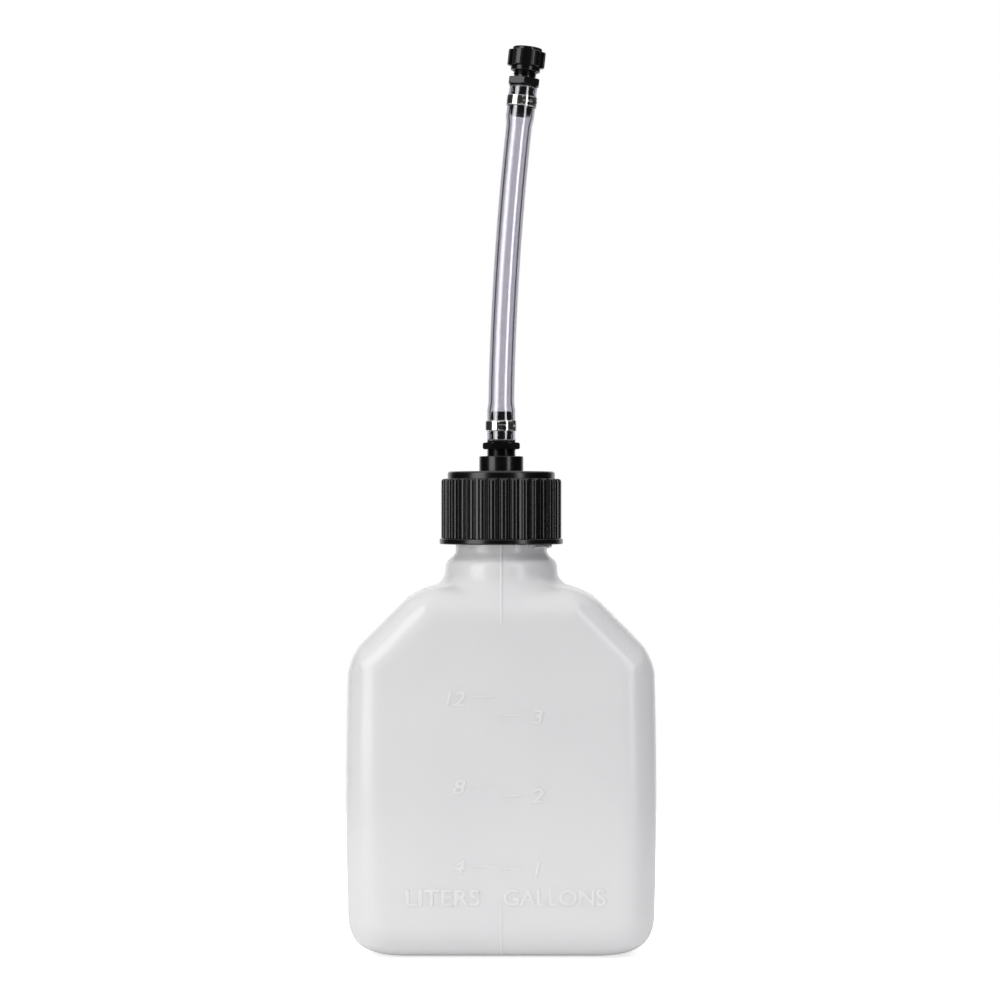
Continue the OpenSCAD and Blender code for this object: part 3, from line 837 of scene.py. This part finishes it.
def add_upper_fitting():
    """Barb, hex and threaded nozzle at the hose's upper end."""
    levels = np.arange(HEX_H + 2.4, HEX_H + NOZZLE_LEN - 0.5, THREAD_FINE / 8)
    rings = [(BORE_R + 0.4, -BARB_LEN), (BARB_ROOT_R - 0.4, -BARB_LEN)]
    rings += barb_outline(0, -1)[::-1]
    rings += [(BARB_ROOT_R + 0.1, 0)] + hex_outline(UPPER_HEX_AF, 0, HEX_H)
    rings += [(NOZZLE_R - 0.8, HEX_H), (NOZZLE_R - 0.8, HEX_H + 2.2)]
    rings += [(NOZZLE_R, z) for z in levels]
    top = HEX_H + NOZZLE_LEN
    rings += [(NOZZLE_R - 1.2, top), (BORE_R + 0.4, top), (BORE_R, top - 0.4)]
    rings += [(BORE_R, 0), (BORE_R, 0.4 - BARB_LEN)]

    def shape(r, z, angle):
        in_hex = (z >= 0) & (z <= HEX_H) & (r > NOZZLE_R + 0.1)
        r = np.where(in_hex, np.minimum(r, hex_radius(UPPER_HEX_AF, angle, 30)), r)
        on_thread = (z > HEX_H + 2.3) & (r > NOZZLE_R - 0.01)
        return np.where(on_thread, r - thread_depth(z, angle, THREAD_FINE, 0.8), r)

    points, faces = turned(held(rings), 144, shape)
    points = points + np.array([0, 0, SEAT])
    piece = mesh_piece("upper_fitting", moved(points, AT_HOSE_END), faces, BLACK, "cap")
    sharpen(piece, 35)
    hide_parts("upper_barb_fitting")
    return piece


def add_end_cap():
    """Small screw cap with rounded grip lugs."""
    base = HEX_H + NOZZLE_SHOW
    top = base + END_CAP_H
    lug_top = top - END_CAP_ROUND - END_LUG_DROP
    lug_low = lug_top - END_LUG_H
    rings = [(END_BORE_R + 0.3, base), (END_CAP_R - 0.3, base), (END_CAP_R, base + 0.3)]
    rings += [(END_CAP_R, z) for z in np.linspace(base + 0.8, lug_low - 0.1, 5)]
    rings += [(END_CAP_R, z) for z in np.linspace(lug_low, lug_low + 1.2, 7)]
    rings += [(END_CAP_R, z) for z in np.linspace(lug_low + 2, lug_top - 2, 10)]
    rings += [(END_CAP_R, z) for z in np.linspace(lug_top - 1.2, lug_top, 7)]
    rings += arc(END_CAP_R - END_CAP_ROUND, top - END_CAP_ROUND, END_CAP_ROUND, 0, 90, 8)
    rings += [(END_CAP_R - 3, top), (4, top), (0.4, top)]
    inner = base + END_BORE_H
    rings += [(0.4, inner), (END_BORE_R - 0.3, inner), (END_BORE_R, inner - 0.3),
              (END_BORE_R, base + 0.3)]

    def shape(r, z, angle):
        off = (np.mod(angle, TURN / END_LUGS) - TURN / END_LUGS / 2) * END_CAP_R
        off = np.abs(np.abs(off) - TURN / END_LUGS / 2 * END_CAP_R)
        across = np.clip((END_LUG_W / 2 - off) / 1.1, 0, 1)
        up = np.clip(np.minimum(z - lug_low, lug_top - z) / 1.2, 0, 1)
        bump = np.sqrt(1 - (1 - across) ** 2) * np.sqrt(1 - (1 - up) ** 2)
        outside = r > END_CAP_R - 0.01
        return np.where(outside, r + (END_LUG_R - END_CAP_R) * bump, r)

    points, faces = turned(held(rings), 216, shape)
    piece = mesh_piece("end_cap_lugged", moved(points, AT_HOSE_END), faces, BLACK, "end_cap")
    sharpen(piece, 40)
    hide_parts("end_cap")
    return piece


def raised(distance, height, soft=0.25):
    """Height of a plate whose outline is where a distance is zero, with a soft edge."""
    return height * smooth_step(-distance / soft)


def add_clamp(name, node, at, turn):
    """Steel band with its rounded lap, hooked tongue, and the holes that the hooks catch in."""
    r0 = hose_radii(0)[0] + 0.15
    w, t = CLAMP_W, CLAMP_T
    r1 = r0 + t
    edge = 0.25
    rings = arc(r0 + edge, edge, edge, 180, 270, 3) + arc(r1 - edge, edge, edge, 270, 360, 3)
    rings += [(r1, z) for z in np.linspace(edge, w - edge, 42)[1:-1]]
    rings += arc(r1 - edge, w - edge, edge, 0, 90, 3) + arc(r0 + edge, w - edge, edge, 90, 180, 3)

    def along(angle, degrees):
        off = np.mod(angle - math.radians(degrees) + math.pi, TURN) - math.pi
        return off * r1

    def shape(r, z, angle):
        across = np.abs(z - w / 2)
        lap_u = along(angle, CLAMP_LAP_END - CLAMP_LAP_ANGLE / 2)
        half = math.radians(CLAMP_LAP_ANGLE / 2) * r1
        lap = rounded_max(np.abs(lap_u) - half, across - w / 2 + 0.3, 2.2)
        keep_u = along(angle, CLAMP_HOLE + 6)
        keeper = rounded_max(np.abs(keep_u) - 7.2, across - w / 2 + 0.5, 1.6)
        dimple = np.hypot(along(angle, CLAMP_HOLE + 44), across) - 1.1
        lift = np.maximum(raised(lap, CLAMP_T), raised(keeper, 0.35)) + raised(dimple, 0.4, 0.5)
        return np.where(r > r1 - 0.01, r + np.minimum(lift, CLAMP_T), r)

    points, faces = turned(rings, 360, shape)
    spin = at @ Matrix.Rotation(math.radians(turn), 4, "Z")
    piece = mesh_piece(name, moved(points, spin), faces, STEEL, "cap")
    holes = [(CLAMP_HOLE, w / 2 - 2.1, 1.75), (CLAMP_HOLE, w / 2 + 2.1, 1.75), (CLAMP_HOLE, w / 2, 1.1),
             (CLAMP_HOLE + 26, w / 2 - 2.2, 0.85), (CLAMP_HOLE + 26, w / 2 + 2.2, 0.85)]
    for degrees, z, r in holes:
        bore = (spin @ Matrix.Rotation(math.radians(degrees), 4, "Z")
                @ Matrix.Translation((r0 + t / 2, 0, z)) @ Matrix.Rotation(math.pi / 2, 4, "Y"))
        cut_round_hole(piece, bore, r, 4 * t)
    tongue, tongue_faces = turned_sector(r0 + t / 2, r1 + 0.55, w / 2 - 0.8, w / 2 + 0.8,
                                         CLAMP_LAP_END - 2, CLAMP_HOLE + 15)
    add_island(piece, moved(tongue, spin), tongue_faces)
    sharpen(piece, 40)
    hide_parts(node)
    return piece


def turned_sector(r0, r1, z0, z1, start, end, steps=24):
    """Part ring with a rounded top section, between two angles in degrees."""
    section = [(r0, z0), (r1 - 0.3, z0), (r1, z0 + 0.3), (r1, z1 - 0.3), (r1 - 0.3, z1), (r0, z1)]
    n = len(section)
    points = []
    for i in range(steps + 1):
        a = math.radians(start + (end - start) * i / steps)
        points += [(r * math.cos(a), r * math.sin(a), z) for r, z in section]
    return np.array(points), [face[::-1] for face in rod_faces(steps, n)]


def add_island(piece, points, faces):
    """Adds a closed solid, in millimetres, to a piece's mesh."""
    work = bmesh.new()
    work.from_mesh(piece.data)
    verts = [work.verts.new([c * MM for c in p]) for p in points]
    for face in faces:
        work.faces.new([verts[i] for i in face]).smooth = True
    work.to_mesh(piece.data)
    work.free()


def cut_round_hole(piece, matrix, r, depth):
    """Cuts a round hole along the Z axis of a matrix, all in millimetres."""
    cutter_mesh = bpy.data.meshes.new("cutter")
    work = bmesh.new()
    bmesh.ops.create_cone(work, cap_ends=True, segments=24, radius1=r, radius2=r, depth=depth,
                          matrix=matrix)
    bmesh.ops.scale(work, vec=(MM, MM, MM), verts=work.verts)
    work.to_mesh(cutter_mesh)
    work.free()
    cutter = bpy.data.objects.new("cutter", cutter_mesh)
    bpy.context.scene.collection.objects.link(cutter)
    cut = piece.modifiers.new("cut", "BOOLEAN")
    cut.object = cutter
    cut.operation = "DIFFERENCE"
    cut.solver = "EXACT"
    bpy.context.view_layer.update()
    shaped = bpy.data.meshes.new_from_object(piece.evaluated_get(bpy.context.evaluated_depsgraph_get()))
    piece.modifiers.remove(cut)
    piece.data = shaped
    bpy.data.objects.remove(cutter)


def add_cap():
    """Ribbed screw cap with its rim, top disc, boss and inner thread."""
    rim_top = CAP_Z + CAP_RIM_H
    rib_top = CAP_TOP_Z - CAP_DISC_H
    skirt = CAP_RIB_R - CAP_RIB_H
    rings = arc(CAP_RIM_R - 1, CAP_Z + 1, 1, -90, 0, 4) + arc(CAP_RIM_R - 1, rim_top - 1, 1, 0, 80, 4)
    rings += [(skirt + 0.02, rim_top + 0.05)]
    rings += [(skirt, z) for z in np.linspace(rim_top + 0.4, rib_top - 3.2, 8)]
    rings += [(skirt, z) for z in rib_top - 2.6 * (1 - np.sin(np.linspace(0, math.pi / 2, 9)))]
    rings += [(CAP_DISC_R + 0.3, rib_top + 0.02), (CAP_DISC_R, rib_top + 0.3)]
    rings += arc(CAP_DISC_R - 2.2, CAP_TOP_Z - 2.2, 2.2, 0, 90, 8)
    rings += [(BOSS_R + 8, CAP_TOP_Z), (BOSS_R + 0.5, CAP_TOP_Z), (BOSS_R, CAP_TOP_Z + 0.5)]
    rings += arc(BOSS_R - 0.8, BOSS_TOP_Z - 0.8, 0.8, 0, 90, 5)
    hole = STEM_R + 0.1
    rings += [(hole + 0.5, BOSS_TOP_Z), (hole, BOSS_TOP_Z - 0.5), (hole, CAP_INNER_Z + 0.4),
              (hole + 0.4, CAP_INNER_Z), (CAP_BORE_R - 1, CAP_INNER_Z), (CAP_BORE_R, CAP_INNER_Z - 1)]
    rings += [(CAP_BORE_R, CAP_Z + 0.5), (CAP_BORE_R + 0.5, CAP_Z)]

    def shape(r, z, angle):
        t = (np.mod(angle * CAP_RIBS / TURN + 0.5, 1) - 0.5) / 0.34
        across = np.sqrt(np.clip(1 - np.abs(t) ** 2.1, 0, 1))
        up = np.sqrt(np.clip(1 - np.clip((z - rib_top + 2.6) / 2.6, 0, 1) ** 2, 0, 1))
        ribbed = (np.abs(r - skirt) < 0.01) & (z > rim_top + 0.1)
        return np.where(ribbed, r + CAP_RIB_H * across * up, r)

    shell = turned(held(rings), CAP_RIBS * 24, shape)
    ridge = helical_ridge(CAP_BORE_R, NECK_R + 0.6, 1.75,
                          THREAD_Z + THREAD_PITCH / 2 + THREAD_PITCH * CAP_THREAD_LEAD / 360,
                          THREAD_ANGLE + CAP_THREAD_LEAD, THREAD_PITCH)
    points, faces = joined([shell, ridge])
    piece = mesh_piece("ribbed_cap", moved(points, AT_NECK), faces, BLACK, "cap")
    sharpen(piece, 50)
    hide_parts("cap")
    return piece


# Jug


def stitch(mesh, rim):
    """Bridges two closed loops of open edges, whose vertices are in one set of numbers, in a bmesh."""
    edges = [e for e in mesh.edges if e.is_boundary and all(v.index in rim for v in e.verts)]
    bmesh.ops.bridge_loops(mesh, edges=edges)


def add_jug():
    """Blow-moulded shell: outer skin, inner skin and threaded neck in one closed mesh."""
    step, coarse = 2.6, 5.2
    outer, outer_quads, outer_top = surface_net(
        jug_distance, (-132.1, -123.1, -4), (132.1, 123.1, NECK_CUT_Z), step)
    cavity, cavity_quads, cavity_top = surface_net(
        cavity_distance, (-130.3, -121.3, -3), (130.3, 121.3, NECK_CUT_Z), coarse)
    outer[outer_top, 2] = NECK_CUT_Z
    cavity[cavity_top, 2] = NECK_CUT_Z
    neck_in = NECK_R - NECK_WALL
    sides = 128
    profile = [(NECK_R, NECK_CUT_Z + 1)] + [(NECK_R, z) for z in (366, 380, NECK_TOP_Z - 1.6)]
    profile += arc(NECK_R - 1.4, NECK_TOP_Z - 1.4, 1.4, 0, 90, 5)
    profile += arc(neck_in + 0.8, NECK_TOP_Z - 0.8, 0.8, 90, 180, 4)
    profile += [(neck_in, z) for z in (380, 366)] + [(neck_in, NECK_CUT_Z + 1)]
    neck, neck_faces = turned(profile, sides)
    neck[:, 1] += NECK_Y
    rows = len(profile)
    neck_faces = neck_faces[: (rows - 1) * sides]
    ridge, ridge_faces = helical_ridge(NECK_R, NECK_R + THREAD_H, THREAD_TURNS, THREAD_Z,
                                       THREAD_ANGLE, THREAD_PITCH)
    ridge[:, 1] += NECK_Y
    points, faces = joined([(outer, outer_quads), (cavity, cavity_quads[:, ::-1]),
                            (neck, neck_faces), (ridge, ridge_faces)])
    piece = mesh_piece("jug_shell", points, faces, PLASTIC, "jug")
    neck_from = len(outer) + len(cavity)
    last_row = neck_from + (rows - 1) * sides
    outer_rim = set(np.flatnonzero(outer_top)) | set(range(neck_from, neck_from + sides))
    inner_rim = set(len(outer) + np.flatnonzero(cavity_top)) | set(range(last_row, last_row + sides))
    work = bmesh.new()
    work.from_mesh(piece.data)
    work.verts.ensure_lookup_table()
    stitch(work, outer_rim)
    stitch(work, inner_rim)
    bmesh.ops.recalc_face_normals(work, faces=work.faces)
    for face in work.faces:
        face.smooth = True
    work.to_mesh(piece.data)
    work.free()
    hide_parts("jug_body")
    return piece


def traced(start, heading, step=1.6, longest=1600):
    """Places and outward directions along the jug's outline in the plane x = 0, as (y, z) pairs."""
    def project(p):
        for _ in range(3):
            q = np.array([[0.0, p[0], p[1]]])
            g = gradient_of(jug_distance, q)[0, 1:]
            p = p - jug_distance(*q.T)[0] * g / max(float(g @ g), 0.25)
        return p, g / np.linalg.norm(g)

    p, out = project(np.array(start, float))
    first, places, outward = p, [p], [out]
    for i in range(int(longest / step)):
        tangent = heading * np.array([-out[1], out[0]])
        p, out = project(p + step * tangent)
        places.append(p)
        outward.append(out)
        if p[1] > NECK_CUT_Z - 0.5 or (i > 20 and np.hypot(*(p - first)) < step):
            break
    return places, outward


def seam_height(y, z):
    """Height of the parting line at a place: none on the flat face, most on the front of the collar."""
    if z < 1:
        return 0
    if y < NECK_Y:
        on_collar = smooth_step((z - 272) / 24) - 0.6 * smooth_step((z - 334) / 6)
        return 0.62 * on_collar + 0.25 * smooth_step((52 - z) / 24)
    return 0.25


def seam_strip(places, outward):
    """Raised parting line with a rounded section along a traced outline."""
    section = np.linspace(-1, 1, 9)
    points = []
    for (y, z), (ny, nz) in zip(places, outward):
        height = seam_height(y, z)
        for s in section:
            lift = (height + 0.12) * math.cos(s * math.pi / 2) ** 1.5 - 0.12
            points.append((s * SEAM_HALF_W, y + ny * lift, z + nz * lift))
        points.append((0, y - ny, z - nz))
    n = len(section) + 1
    steps = len(places) - 1
    faces = rod_faces(steps, n)
    return np.array(points), faces


def add_seam():
    """Parting line round the jug in its middle plane, and round the hand opening, in a paler copy of
    the plastic as a painted highlight.
    """
    front = traced((FACE_Y, 150), -1)
    back = traced((FACE_Y, 150), 1)
    places = front[0][::-1] + back[0][1:]
    outward = front[1][::-1] + back[1][1:]
    hand = traced(((GRIP_FRONT_Y + GRIP_REAR_Y) / 2, GRIP_Z - GRIP_T / 2), 1)
    points, faces = joined([seam_strip(places, outward), seam_strip(*hand)])
    piece = mesh_piece("parting_line", points, faces, PAINTED_HIGHLIGHT_PLASTIC, "jug")
    sharpen(piece, 60)
    return piece


def face_place(px, py):
    """Place on the marked face, in millimetres, of a pixel of the photograph."""
    scale = FACE_DISTANCE / FOCAL_PX
    return (px - FACE_PX) * scale, CAMERA_Z - (py - IMAGE_MIDDLE_PX) * scale


def text_solid(body, px, py, high_px, wide_px, lean):
    """Raised lettering on the marked face: points in millimetres, and faces."""
    curve = bpy.data.curves.new("lettering", "FONT")
    curve.body = body
    curve.size = 10
    curve.shear = lean
    curve.extrude = 0.02
    curve.bevel_depth = 0.4
    curve.bevel_resolution = 2
    curve.offset = -0.16
    curve.resolution_u = 6
    made = bpy.data.objects.new("lettering", curve)
    bpy.context.scene.collection.objects.link(made)
    bpy.context.view_layer.update()
    mesh = bpy.data.meshes.new_from_object(made.evaluated_get(bpy.context.evaluated_depsgraph_get()))
    bpy.data.objects.remove(made)
    work = bmesh.new()
    work.from_mesh(mesh)
    bmesh.ops.remove_doubles(work, verts=work.verts, dist=0.001)
    flat = np.array([v.co[:] for v in work.verts])
    work.verts.index_update()
    faces = [[v.index for v in f.verts] for f in work.faces]
    work.free()
    low, high = flat.min(0), flat.max(0)
    scale = FACE_DISTANCE / FOCAL_PX
    x, z = face_place(px, py)
    points = np.stack([
        x + (flat[:, 0] - (low[0] + high[0]) / 2) / (high[0] - low[0]) * wide_px * scale,
        FACE_Y - flat[:, 2] / high[2] * MARK_RISE,
        z + (flat[:, 1] - (low[1] + high[1]) / 2) / (high[1] - low[1]) * high_px * scale], axis=1)
    return points, faces


def add_marks():
    """Raised volume marks on the front face: numbers, their ticks and the two unit words, in a paler
    copy of the plastic as a painted highlight.
    """
    solids = [text_solid(body, px, py, MARK_HIGH_PX, wide, MARK_LEAN)
              for body, px, py, wide in MARK_NUMBERS]
    solids += [text_solid("-", (a + b) / 2, y, 1.6, b - a, 0) for a, b, y in MARK_TICKS]
    solids += [text_solid(body, (a + b) / 2, WORDS_PY, WORDS_HIGH_PX, b - a, 0)
               for body, a, b in MARK_WORDS]
    points, faces = joined(solids)
    piece = mesh_piece("volume_marks", points, faces, PAINTED_HIGHLIGHT_PLASTIC, "jug")
    sharpen(piece, 50)
    return piece


bpy.context.scene.view_settings.view_transform = "Standard"
add_camera()
hose = add_hose()
light_world()
add_floor()
add_strip_light("left_light", -50, 0.95, 3.5, (1.0, 1.0, 0.99))
add_strip_light("right_light", 40, 0.36, 4.2, (0.98, 0.96, 1.0))

jug = add_jug()
add_seam()
add_marks()
cap = add_cap()
lower_fitting = add_lower_fitting()
upper_fitting = add_upper_fitting()
end_cap = add_end_cap()
lower_clamp = add_clamp("lower_clamp", "lower_hose_clamp",
                        Matrix.Translation((0, NECK_Y, HOSE_Z + CLAMP_FROM_HEX)), 0)
upper_clamp = add_clamp("upper_clamp", "upper_hose_clamp",
                        AT_HOSE_END @ Matrix.Translation((0, 0, -CLAMP_FROM_HEX - CLAMP_W)),
                        UPPER_CLAMP_TURN)
for node in ("cap_gasket", "end_cap_washer"):
    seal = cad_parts[node]
    seal.data.materials.clear()
    seal.data.materials.append(RUBBER)
